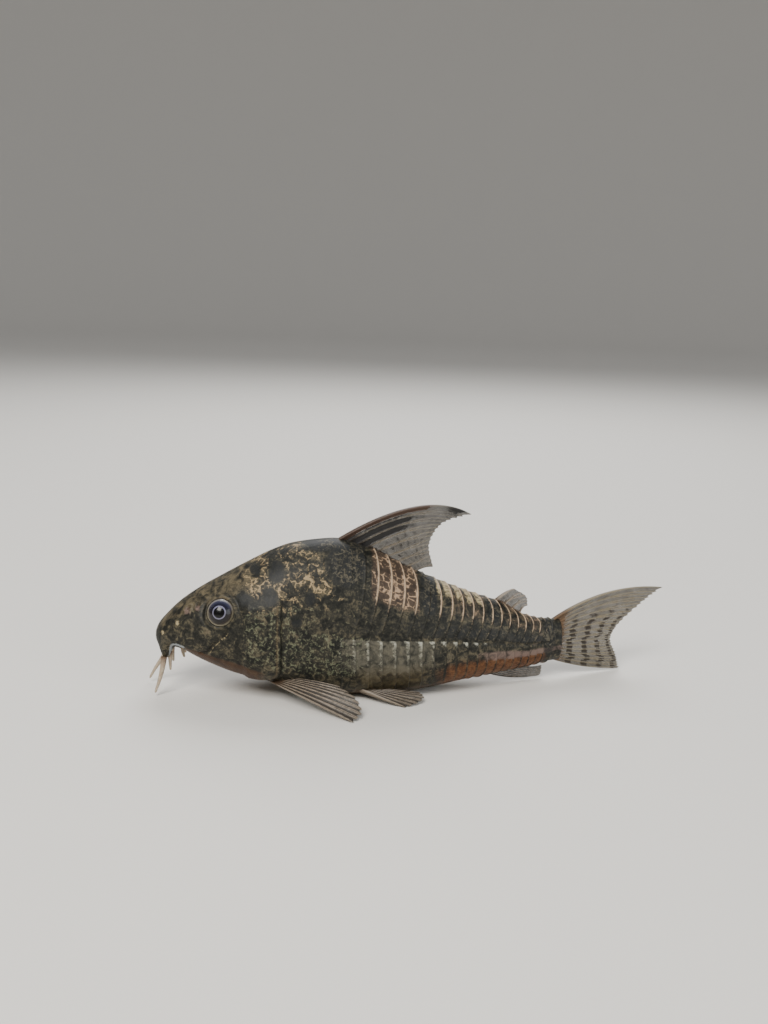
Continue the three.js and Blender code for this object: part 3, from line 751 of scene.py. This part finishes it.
def skin_masks(station, turn, phase, z):
    """Where each layer of the skin's colour shows, from 0 to 1."""
    blotch = np.zeros(station.shape)
    for centre, height, long, high in BLOTCHES:
        reach = np.hypot((station - centre) / long, (z - height) / high)
        blotch = np.maximum(blotch, falls(reach, 0.6, 0.7))
    # A dark band runs along the side, just above the lateral line.
    band = rises(turn, 0.33, 0.06) * falls(turn, 0.452, 0.015) * rises(station, 17, 8)
    blotch = np.maximum(blotch, band * mix(0.55, 0.8, rises(station, 30, 10)))
    under = rises(turn, 0.475, 0.02) * falls(turn, 0.505, 0.03) * rises(station, 37, 6)
    blotch = np.maximum(blotch, 0.45 * under)

    upper_row = turn < LATERAL_UPPER
    lower_row = turn > LATERAL_LOWER - 0.02
    rim_line = rises(phase, 0.74, 0.1) * (phase < 0.96)
    tail_end = falls(station, 52.5, 2)
    above_band = falls(turn, 0.28, 0.09)
    rear = rises(station, 34, 6)
    rim = rim_line * upper_row * tail_end * rises(station, 26.5, 2) * mix(0.4, 1, above_band)
    light = rises(station, 27.8, 0.8) * above_band * tail_end
    panel = light * falls(station, 34.3, 0.6) + 0.55 * light * rises(station, 37.5, 2)
    crest = falls(turn, 0.16, 0.08) * falls(station, 49, 2)
    cream_and_glint = crest * rises(station, 36.6, 0.6) * rises(phase, 0.1, 0.3) * falls(station, 43.2, 0.8)
    tips = lower_row * falls(turn, 0.492, 0.03) * ease((phase - 0.3 - 9 * (turn - 0.488)) / 0.4)
    tips = tips * rises(station, 25, 6) * falls(station, 42, 4)
    streaks = lower_row * falls(turn, 0.56, 0.12) * rises(station, 20, 7) * (1 - 0.7 * rear)
    streak_rims = rises(phase, 0.5, 0.3) * (phase < 0.96) * streaks * (1 - 0.35 * rises(turn, 0.5, 0.1))
    low_flank = rises(turn, 0.52, 0.06) * falls(turn, 0.74, 0.1)
    belly = rises(turn, 0.66, 0.12) * falls(station, 34, 8) * rises(station, 11, 6)
    mauve = rises(turn, 0.52, 0.03) * falls(turn, 0.6, 0.04) * rises(station, 41, 4)
    mauve = np.maximum(mauve, 0.35 * rises(station, 50.2, 1.4) * falls(station, 53.4, 0.8))
    gold = rises(turn, 0.3, 0.08) * rises(station, 10.5, 2) * falls(station, 27, 4)
    gold = gold * falls(turn, 0.6, 0.08)
    net = rises(station, 9, 5) * falls(station, 23.5, 2.5) * falls(turn, 0.26, 0.24)
    net = net * (1 - 0.22 * rises(station, 13, 4) * falls(turn, 0.18, 0.1))
    masks = {
        "snout": falls(turn, 0.24, 0.12) * falls(station, 12, 4),
        "net": net * (1 - blotch),
        "gold": gold * (1 - 0.7 * blotch),
        "low": low_flank * (1 - rear) * rises(station, 22, 6),
        "rust": rises(turn, 0.53, 0.12) * rear * tail_end * (1 - 0.5 * rim_line),
        "mauve": 0.95 * mauve,
        "panel": panel * (1 - 0.8 * blotch),
        "blotch": blotch * (1 - 0.9 * rim * (station > 36)),
        "speckle": blotch * rises(station, 19, 3),
        "cream_and_glint": cream_and_glint,
        "rim": rim * (1 - 0.6 * blotch * (station < 40)),
        "tips": tips,
        "streaks": streaks,
        "streak_rims": streak_rims,
        "belly": belly,
        "pale": rises(turn, 0.86, 0.08) * rises(station, 5, 3) * falls(station, 48, 4),
        "jaw": rises(turn, 0.62, 0.05) * falls(station, 13, 3) * rises(station, 3, 2),
    }
    for centre, height, radius, mask in SNOUT_SPOTS:
        reach = np.hypot(station - centre, z - height) / radius
        masks[mask] = np.maximum(masks[mask], 1.15 * (1 - ease(reach / 1.3)) * (station < 13))
    return masks


# Fins


def line(*points):
    """A centripetal curve through the points, read by a share from 0 to 1."""
    pts = np.array(points, float)
    pts[:, 0] -= REST_STATION
    before = np.vstack([2 * pts[0] - pts[1], pts, 2 * pts[-1] - pts[-2]])

    def read(share):
        share = np.asarray(share, float)
        position = share * (len(pts) - 1)
        i = np.clip(np.floor(position).astype(int), 0, len(pts) - 2)
        w = (position - i)[..., None]
        p0, p1, p2, p3 = (before[i + k] for k in range(4))
        d0, d1, d2 = (
            np.sqrt(np.linalg.norm(b - a, axis=-1, keepdims=True))
            for a, b in ((p0, p1), (p1, p2), (p2, p3))
        )
        t1 = ((p1 - p0) / d0 - (p2 - p0) / (d0 + d1) + (p2 - p1) / d1) * d1
        t2 = ((p2 - p1) / d1 - (p3 - p1) / (d1 + d2) + (p3 - p2) / d2) * d1
        square = 3 * p2 - 3 * p1 - 2 * t1 - t2
        cube = 2 * p1 - 2 * p2 + t1 + t2
        return p1 + t1 * w + square * w**2 + cube * w**3

    return read


def back_height(station):
    return float(top_height(station)) + SCUTE_LIFT


FINS = {
    "dorsal_fin": {
        "root": [
            (22.5, 0, back_height(22.5) - 1.3),
            (28.3, 0, back_height(28.3) - 1.2),
            (34, 0, back_height(34) - 0.9),
        ],
        "knee": [(34.8, 0, 28.2), (33, 0, 23.4), (33.9, 0, 19.4), (35.6, 0, 17.2)],
        "edge": [(41.9, 0, 24.2), (37.9, 0, 22.9), (36.3, 0, 20.2), (36.9, 0, 17)],
        "rays": 8, "spine": 1.15, "rows": 56, "spot_columns": 8, "spots": 0.7, "red_spine": 1.3,
        "ink": 1.15, "base": 0.2,
    },
    "adipose_fin": {
        "root": [(45.4, 0, back_height(45.4) - 0.9), (49.6, 0, back_height(49.6) - 0.8)],
        "knee": [(47.2, 0, 13.2), (49.9, 0, 10.9)],
        "edge": [(48.7, 0, 13.5), (50.7, 0, 12.2), (50.9, 0, 10.9)],
        "rays": 3, "spine": 0.8, "rows": 24, "spot_columns": 2, "spots": 0.6, "base": 0.4,
    },
    "anal_fin": {
        "root": [(43.6, 0, 2.3), (49, 0, 3)],
        "knee": [(47, 0, 0.4), (51, 0, 1.5)],
        "edge": [(52, 0, 0.35), (53.6, 0, 0.5), (53.8, 0, 1.9)],
        "rays": 7, "spine": 0.6, "rows": 26, "spot_columns": 3, "spots": 0.4,
    },
    "caudal_fin": {
        "root": [(54.6, 0, 8.3), (54.9, 0, 5.5), (54.6, 0, 2.9)],
        "knee": [(63, 0, 13.4), (61.5, 0, 5.7), (61, 0, 0.5)],
        "edge": [
            (73.4, 0.7, 11.8), (69.8, 0.5, 9.6), (65.8, 0.2, 6.6), (64.8, 0, 4.9), (65.9, 0, 2.4),
            (66.6, 0, 0.2),
        ],
        "rays": 14, "spine": 0.8, "rows": 64, "spot_columns": 4.6, "spots": 1.05, "base": 0.24,
    },
    "pectoral_fin": {
        "root": [(15.4, 4.9, 2.6), (16.8, 5.1, 3.4)],
        "knee": [(20.2, 9.2, 1.8), (21.3, 8.4, 3.2), (20.6, 7.4, 4)],
        "edge": [(25.8, 12.4, 0.15), (27, 11.2, 0.9), (26.4, 9.6, 2.1), (24.2, 8.2, 3.3)],
        "rays": 7, "spine": 1.1, "rows": 40, "fork": 0.14, "ray_width": 0.27,
    },
    "pelvic_fin": {
        "root": [(26.4, 4.2, 1.5), (28.6, 4, 1.4)],
        "knee": [(29.4, 6.4, 1.1), (31, 5.8, 1.2), (31.8, 5, 1.4)],
        "edge": [(32.6, 7.6, 0.15), (34.2, 7, 0.4), (35.2, 6, 0.8), (34.8, 5, 1.1)],
        "rays": 6, "spine": 0.7, "rows": 30, "fork": 0.14, "ray_width": 0.25,
    },
}
PLAIN_FIN = {
    "fork": 0.22, "ray_width": 0.2, "base": 0.14, "spots": 0, "spot_columns": 0, "red_spine": 0,
    "ink": 0,
}
RAY_COLUMNS = 8
MEMBRANE = 0.16
RAY = 0.42
FIN_EDGE = 0.1
FIN_CLEARANCE = 0.02


def fin_masks(shape, out, share, ray):
    """Where each layer of a fin's colour shows, from 0 to 1."""
    from_lead = share * shape["rays"]
    ray_number = np.round(from_lead)
    shift = 0.6 * np.sin(ray_number * 2.4 + 1.0) + 0.4 * np.sin(ray_number * 5.1)
    wave = np.sin(2 * np.pi * out * shape["spot_columns"] + shift)
    spots = rises(wave, 0.1, 0.5) * rises(out, 0.1, 0.08) * (1 - 0.75 * ray) * shape["spots"]
    spine = ease((0.75 - from_lead) / 0.35) * shape["red_spine"]
    stripes = (1 - 0.7 * ray) * rises(from_lead, 0.6, 0.2) * falls(from_lead, 2.2, 1.6)
    stripes = stripes * (1 - 0.45 * rises(out, 0.35, 0.3))
    tip = 0.8 * rises(out, 0.55, 0.4) * falls(out, 0.92, 0.08) * falls(from_lead, 0.2, 1.9)
    return {
        "ray": ray * mix(1, 0.8, out),
        "spots": spots * mix(0.5, 1, rises(share, 0.1, 0.35)),
        "base": 1.3 * falls(out, 0.03, shape["base"]),
        "spine": spine * falls(out, 0.58, 0.14),
        "ink": shape["ink"] * np.maximum(stripes, tip),
        "haze": 0.6 * falls(share, 0.5, 0.5) * falls(out, 0.5, 0.6),
    }


def fin_piece(name, shape, material, node, sign=1):
    """A thin membrane whose rays are raised on both faces, and fork in their outer half."""
    shape = {**PLAIN_FIN, **shape}
    rays, rows = shape["rays"], shape["rows"]
    columns = rays * RAY_COLUMNS
    curves = []
    for part in ("root", "knee", "edge"):
        curves.append(line(*[(s, y * sign, z) for s, y, z in shape[part]]))
    outs, shares = np.linspace(0, 1, rows + 1), np.linspace(0, 1, columns + 1)
    out, share = np.meshgrid(outs, shares, indexing="ij")
    from_ray = share * rays - np.round(share * rays)
    fork = shape["fork"] * rises(out, 0.4, 0.45) * (share > 0.6 / rays)
    width = shape["ray_width"] * mix(1, 0.6, ease(out / 0.8))
    ray = bell(np.abs(from_ray), fork, width)
    lead = bell(share * rays, 0, 0.42)
    reached = out * (1 - 0.03 * (1 - ray) * (1 - lead) * rises(out, 0.8, 0.2))
    a, b, c = (curve(share) for curve in curves)
    t = reached[..., None]
    middle = a * (1 - t) ** 2 + 2 * b * t * (1 - t) + c * t**2
    du = np.gradient(middle, axis=0)
    dv = np.gradient(middle, axis=1)
    normal = np.cross(du, dv)
    normal /= np.linalg.norm(normal, axis=-1, keepdims=True) + 1e-12
    thick = MEMBRANE + (RAY - MEMBRANE) * ray * mix(1, 0.45, out)
    thick = np.maximum(thick, shape["spine"] * lead * mix(1, 0.35, out**1.5))
    thick = mix(thick, FIN_EDGE, rises(out, 0.9, 0.1))
    front = middle + normal * thick[..., None] / 2
    back = middle - normal * thick[..., None] / 2
    front[..., 2] = np.maximum(front[..., 2], FIN_CLEARANCE)
    back[..., 2] = np.maximum(back[..., 2], FIN_CLEARANCE)
    count = (rows + 1) * (columns + 1)
    vertices = np.vstack([front.reshape(-1, 3), back.reshape(-1, 3)])
    quads = grid_faces(rows + 1, columns + 1, False)
    faces = [tuple(q) for q in quads] + [tuple(q + count) for q in quads[:, ::-1]]

    def at(r, k):
        return r * (columns + 1) + k

    for r in range(rows):
        a, b = at(r, 0), at(r + 1, 0)
        faces.append((a, b, count + b, count + a))
        a, b = at(r, columns), at(r + 1, columns)
        faces.append((a, count + a, count + b, b))
    for k in range(columns):
        a, b = at(0, k), at(0, k + 1)
        faces.append((a, count + a, count + b, b))
        a, b = at(rows, k), at(rows, k + 1)
        faces.append((a, b, count + b, count + a))
    values = fin_masks(shape, out, share, ray)
    values = {label: np.tile(v.reshape(-1), 2) for label, v in values.items()}
    make_piece(name, vertices, faces, material, values, (node,))


# Eyes


def eye_piece(name, sign, material, node):
    """An eyeball with a cornea that bulges a little, its pole towards the way it looks."""
    centre, outward = eye_place(sign)
    rows, columns = 48, 56
    theta = np.linspace(0, np.pi, rows + 2)[1:-1, None]
    phi = np.linspace(0, 2 * np.pi, columns, endpoint=False)[None, :]
    radius = EYE["ball"] + EYE["cornea"] * bell(theta, 0, 0.62) + 0 * phi
    side = np.cross(outward, [0, 0, 1])
    side /= np.linalg.norm(side)
    top = np.cross(side, outward)
    top *= np.sign(top[2])
    directions = (
        np.sin(theta)[..., None] * (np.cos(phi)[..., None] * side + np.sin(phi)[..., None] * top)
        + np.cos(theta)[..., None] * outward
    )
    vertices = (centre + radius[..., None] * directions).reshape(-1, 3)
    poles = [centre + outward * (EYE["ball"] + EYE["cornea"]), centre - outward * EYE["ball"]]
    vertices = np.vstack([vertices, poles])
    to_rim = np.where(theta < np.pi / 2, np.sin(theta) * EYE["ball"] / EYE["rim"], 2)
    ring = np.clip(to_rim + 0 * phi, 0, 1)
    upper = rises(np.sin(phi), -0.1, 0.9) + 0 * theta
    values = {"ring": np.append(ring, [0, 1]), "upper": np.append(upper, [0.5, 0.5])}
    make_piece(name, vertices, closed_faces(rows, columns), material, values, (node,))


# Barbels

# Barbels: the path as [station, side, height], and the radius at the root
BARBELS = {
    "upper_barbel_left": (
        [(1.3, 2.4, 5.2), (1.1, 2.7, 3.7), (0.75, 2.95, 2.2), (0.2, 3.2, 0.5)], 0.42,
    ),
    "upper_barbel_right": (
        [(1.3, 2.4, 5.2), (0.6, 2.6, 3.5), (-0.4, 2.3, 2), (-1.2, 1.8, 0.6)], 0.42,
    ),
    "lower_barbel": ([(1.95, 1.5, 5.6), (2, 1.55, 4.3), (2.05, 1.7, 3.1)], 0.34),
    "lip_barbel": ([(3.5, 0.7, 6.2), (3.6, 0.8, 5.3), (3.8, 0.9, 4.6)], 0.32),
}
BARBEL_TIP = 0.14
BARBEL_LOOPS = 44
BARBEL_SIDES = 18
PATH_POINTS = 48


def barbel_tree(material):
    """Geometry Nodes: a round feeler that tapers along the path it is given, to a rounded tip."""
    tree = bpy.data.node_groups.new("tapered_barbel", "GeometryNodeTree")
    inputs = {
        "Geometry": "Geometry", "Root Radius": "Float", "Tip Radius": "Float", "Loops": "Int",
        "Sides": "Int",
    }
    for name, kind in inputs.items():
        tree.interface.new_socket(name, in_out="INPUT", socket_type=f"NodeSocket{kind}")
    tree.interface.new_socket("Geometry", in_out="OUTPUT", socket_type="NodeSocketGeometry")
    given = add(tree, "NodeGroupInput").outputs
    path = add(tree, "GeometryNodeMeshToCurve", {"Mesh": given["Geometry"]}).outputs[0]
    path = add(tree, "GeometryNodeResampleCurve", {"Curve": path, "Count": given["Loops"]}).outputs[0]
    share = add(tree, "GeometryNodeSplineParameter").outputs["Factor"]
    taper = add(
        tree,
        "ShaderNodeMapRange",
        {"Value": share, "To Min": given["Root Radius"], "To Max": given["Tip Radius"]},
    ).outputs[0]
    rounding = add(
        tree,
        "ShaderNodeMapRange",
        {"Value": share, "From Min": 1.0, "From Max": 0.96, "To Min": 0.12},
    ).outputs[0]
    rounding = add(tree, "ShaderNodeMath", {0: rounding}, operation="SQRT").outputs[0]
    radius = add(tree, "ShaderNodeMath", {0: taper, 1: rounding}, operation="MULTIPLY").outputs[0]
    near_root = {"Value": share, "From Min": 0.3, "From Max": 0.0}
    root = add(tree, "ShaderNodeMapRange", near_root).outputs[0]
    path = add(
        tree,
        "GeometryNodeStoreNamedAttribute",
        {"Geometry": path, "Name": "root", "Value": root},
        domain="POINT",
    ).outputs[0]
    circle = {"Resolution": given["Sides"], "Radius": 1.0}
    ring = add(tree, "GeometryNodeCurvePrimitiveCircle", circle).outputs[0]
    body = add(
        tree,
        "GeometryNodeCurveToMesh",
        {"Curve": path, "Profile Curve": ring, "Scale": radius, "Fill Caps": True},
    ).outputs[0]
    body = add(tree, "GeometryNodeSetShadeSmooth", {"Geometry": body}).outputs[0]
    body = add(tree, "GeometryNodeRealizeInstances", {"Geometry": body}).outputs[0]
    body = add(tree, "GeometryNodeSetMaterial", {"Geometry": body, "Material": material}).outputs[0]
    add(tree, "NodeGroupOutput", {"Geometry": body})
    return tree


def barbel_piece(name, points, root_radius, sign, tree, node):
    curve = line(*[(s, y * sign, z) for s, y, z in points])
    places = bend(curve(np.linspace(0, 1, PATH_POINTS))) * MM
    mesh = bpy.data.meshes.new(f"{name}_path")
    mesh.from_pydata(places.tolist(), [(k, k + 1) for k in range(PATH_POINTS - 1)], [])
    path = new_object(f"{name}_path", mesh)
    modifier = path.modifiers.new("tapered_barbel", "NODES")
    modifier.node_group = tree
    sizes = {
        "Root Radius": root_radius * MM,
        "Tip Radius": BARBEL_TIP * MM,
        "Loops": BARBEL_LOOPS,
        "Sides": BARBEL_SIDES,
    }
    for item in tree.interface.items_tree:
        if item.in_out == "INPUT" and item.name in sizes:
            modifier[item.identifier] = sizes[item.name]
    settled = path.evaluated_get(bpy.context.evaluated_depsgraph_get())
    body = bpy.data.meshes.new_from_object(settled)
    bpy.data.objects.remove(path)
    turn_outwards(body)
    piece = new_object(name, body)
    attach(piece, "root")
    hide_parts(node)


# Stage, light and camera


# Floor: matt off-white card, which sets off the dark fish and takes its soft shadow.
def studio_floor():
    """A pale floor that curves up into a plain backdrop all round."""
    material, tree, output = new_material("pale_studio_floor")
    card = {"Base Color": linear("#dedbd5"), "Roughness": 0.8}
    surface = add(tree, "ShaderNodeBsdfPrincipled", card)
    tree.links.new(surface.outputs[0], output.inputs[0])
    reach, high, cove = 1.5, 0.9, 0.5
    profile = [(0.3, 0.0)]
    cove_steps = 16
    for step in range(cove_steps + 1):
        angle = math.pi / 2 * step / cove_steps
        profile.append((reach - cove + cove * math.sin(angle), cove - cove * math.cos(angle)))
    profile.append((reach, high))
    sides = 96
    vertices = [(0.0, 0.0, 0.0)]
    for r, z in profile:
        for k in range(sides):
            turned = 2 * math.pi * k / sides
            vertices.append((r * math.cos(turned), r * math.sin(turned), z))
    faces = [(0, 1 + k, 1 + (k + 1) % sides) for k in range(sides)]
    faces += [tuple(1 + q) for q in grid_faces(len(profile), sides, True)[:, ::-1]]
    mesh = bpy.data.meshes.new("studio_floor")
    mesh.from_pydata(vertices, [], faces)
    mesh.polygons.foreach_set("use_smooth", np.ones(len(faces), bool))
    mesh.materials.append(material)
    floor = new_object("studio_floor", mesh)


def area_light(name, place, size, power, colour):
    lamp = bpy.data.lights.new(name, "AREA")
    lamp.shape = "SQUARE"
    lamp.size = size
    lamp.energy = power
    lamp.color = colour
    holder = new_object(name, lamp)
    holder.location = place
    towards_fish = Vector((0, 0, 0.01)) - Vector(place)
    holder.rotation_euler = towards_fish.to_track_quat("-Z", "Y").to_euler()


def studio_light():
    area_light("key_light", (-0.16, -0.28, 0.36), 0.22, 2.6, (1.0, 0.97, 0.92))
    area_light("fill_light", (0.34, -0.3, 0.18), 0.3, 0.9, (0.92, 0.96, 1.0))
    area_light("back_light", (0.05, 0.3, 0.34), 0.3, 1.6, (1.0, 1.0, 1.0))
    world = bpy.data.worlds.new("studio_world")
    world.use_nodes = True
    background = world.node_tree.nodes["Background"]
    background.inputs["Color"].default_value = linear("#e6e8ec")
    background.inputs["Strength"].default_value = 0.4
    bpy.context.scene.world = world


CAMERA = {
    "azimuth": -5, "elevation": 12, "distance": 139.05, "aim": (0.0, 0.0, 24.54), "roll": 1.75,
    "lens": 36.91,
}


def photo_camera():
    """The photograph's view: a short distance off the left flank, from a little above."""
    a, e = math.radians(CAMERA["azimuth"]), math.radians(CAMERA["elevation"])
    back = Vector((math.sin(a) * math.cos(e), -math.cos(a) * math.cos(e), math.sin(e)))
    aim = Vector(CAMERA["aim"])
    place = (aim + back * CAMERA["distance"]) * MM
    lens = bpy.data.cameras.new("photo_camera")
    lens.sensor_fit = "VERTICAL"
    lens.sensor_height = 36
    lens.lens = CAMERA["lens"]
    lens.clip_start = 0.005
    holder = new_object("photo_camera", lens)
    turned = (-back).to_track_quat("-Z", "Y").to_matrix().to_4x4()
    rolled = Matrix.Rotation(math.radians(CAMERA["roll"]), 4, "Z")
    holder.matrix_world = Matrix.Translation(place) @ turned @ rolled
    bpy.context.scene.camera = holder


photo_camera()
studio_floor()
studio_light()

skin_piece(skin_material())

dusky_fin = fin_material(
    "dusky_dorsal_fin", "#3f392f", 0.58,
    [
        ("haze", "#2f2a23", 0.8), ("ray", "#6c6354", 0.8), ("spots", "#1d1916", 0.85),
        ("base", "#241c14", 0.95), ("ink", "#141416", 0.9), ("spine", "#4a3a31", 1.0),
    ],
)
spotted_fin = fin_material(
    "spotted_tail_fin", "#4f4739", 0.55,
    [
        ("haze", "#473e31", 0.8), ("ray", "#7d725a", 0.86), ("spots", "#231c16", 0.88),
        ("base", "#5d452d", 0.95),
    ],
)
paired_fin = fin_material(
    "clear_paired_fin", "#302b25", 0.5,
    [
        ("haze", "#3a322a", 0.75), ("ray", "#877b6c", 0.92), ("spots", "#332920", 0.8),
        ("base", "#4d3d2e", 0.95),
    ],
)
fin_piece("dorsal_membrane", FINS["dorsal_fin"], dusky_fin, "dorsal_fin")
fin_piece("adipose_membrane", FINS["adipose_fin"], paired_fin, "adipose_fin")
fin_piece("anal_membrane", FINS["anal_fin"], paired_fin, "anal_fin")
fin_piece("caudal_membrane", FINS["caudal_fin"], spotted_fin, "caudal_fin")
eye_skin = eye_material()
feeler = barbel_tree(barbel_material())
for side, sign in (("left", -1), ("right", 1)):
    for pair in ("pectoral", "pelvic"):
        fin, node = FINS[f"{pair}_fin"], f"{pair}_fin_{side}"
        fin_piece(f"{pair}_membrane_{side}", fin, paired_fin, node, sign)
    eye_piece(f"eyeball_{side}", sign, eye_skin, f"eye_{side}")
    for pair in ("upper_barbel", "lower_barbel", "lip_barbel"):
        points, radius = BARBELS.get(pair) or BARBELS[f"{pair}_{side}"]
        barbel_piece(f"{pair}_skin_{side}", points, radius, sign, feeler, f"{pair}_{side}")
